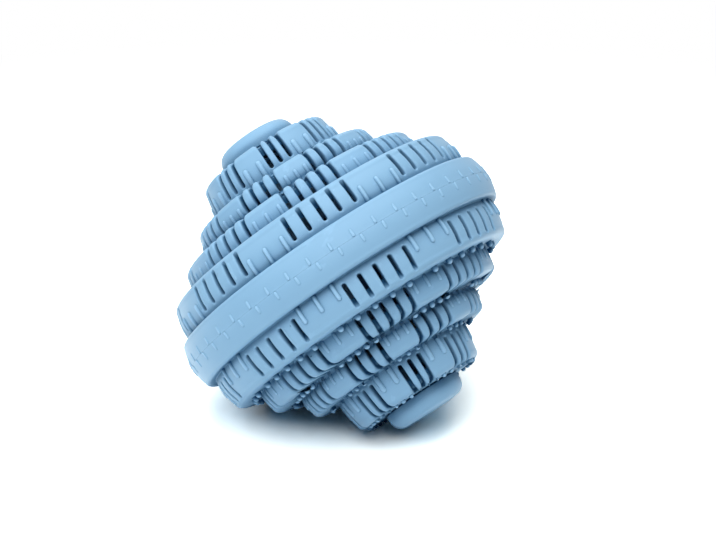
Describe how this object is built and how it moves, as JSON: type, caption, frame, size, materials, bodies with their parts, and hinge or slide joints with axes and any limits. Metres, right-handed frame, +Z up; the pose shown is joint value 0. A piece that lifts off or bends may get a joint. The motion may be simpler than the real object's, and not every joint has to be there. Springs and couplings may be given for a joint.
{
  "type": "laundry ball",
  "caption": "Hollow terraced plastic ball with slotted steps, opening at its middle band, for washing laundry with loose ceramic beads inside.",
  "frame": {"origin": "middle of the ball, on its axis and on the parting plane of the two halves", "axes": "resting pose as in the picture: +Z up, the ball's axis in the XZ plane and leaning so that its upper end points to -X, +Y across the band"},
  "size_m": [0.091, 0.105, 0.0891],
  "materials": {
    "shell_plastic": "satin light blue moulded plastic with a fine grain on the slotted lands",
    "core_plastic": "matte light blue moulded plastic",
    "ring_plastic": "matte light blue moulded plastic",
    "spindle_plastic": "matte pale grey plastic",
    "bead_white": "opaque fired ceramic, off white",
    "bead_grey": "opaque fired ceramic, grey",
    "bead_green": "opaque fired ceramic, grey green",
    "bead_red": "opaque fired ceramic, brick red"
  },
  "bodies": {
    "lower_half": {"shell_lower": "shell_plastic", "cap_lower": "shell_plastic", "spindle": "spindle_plastic", "chamber_divider": "core_plastic", "bead_white_1": "bead_white", "bead_white_2": "bead_white", "bead_white_3": "bead_white", "bead_white_4": "bead_white", "bead_white_5": "bead_white", "bead_white_6": "bead_white", "bead_white_7": "bead_white", "bead_grey_1": "bead_grey", "bead_grey_2": "bead_grey", "bead_grey_3": "bead_grey", "bead_grey_4": "bead_grey", "bead_grey_5": "bead_grey", "bead_grey_6": "bead_grey", "bead_grey_7": "bead_grey", "bead_green_1": "bead_green", "bead_green_2": "bead_green", "bead_green_3": "bead_green", "bead_green_4": "bead_green", "bead_green_5": "bead_green", "bead_green_6": "bead_green", "bead_green_7": "bead_green", "bead_red_1": "bead_red", "bead_red_2": "bead_red", "bead_red_3": "bead_red", "bead_red_4": "bead_red", "bead_red_5": "bead_red", "bead_red_6": "bead_red", "bead_red_7": "bead_red"},
    "ring": {"joining_ring": "ring_plastic"},
    "upper_half": {"shell_upper": "shell_plastic", "cap_upper": "shell_plastic"}
  },
  "joints": [
    {"name": "pull_open", "type": "slide", "parent": "lower_half", "child": "ring", "axis": [-0.6908, 0, 0.7231], "range_m": [0, 0.06]},
    {"name": "turn_upper_half", "type": "hinge", "parent": "ring", "child": "upper_half", "pos_m": [0, 0, 0], "axis": [-0.6908, 0, 0.7231], "continuous": true}
  ]
}
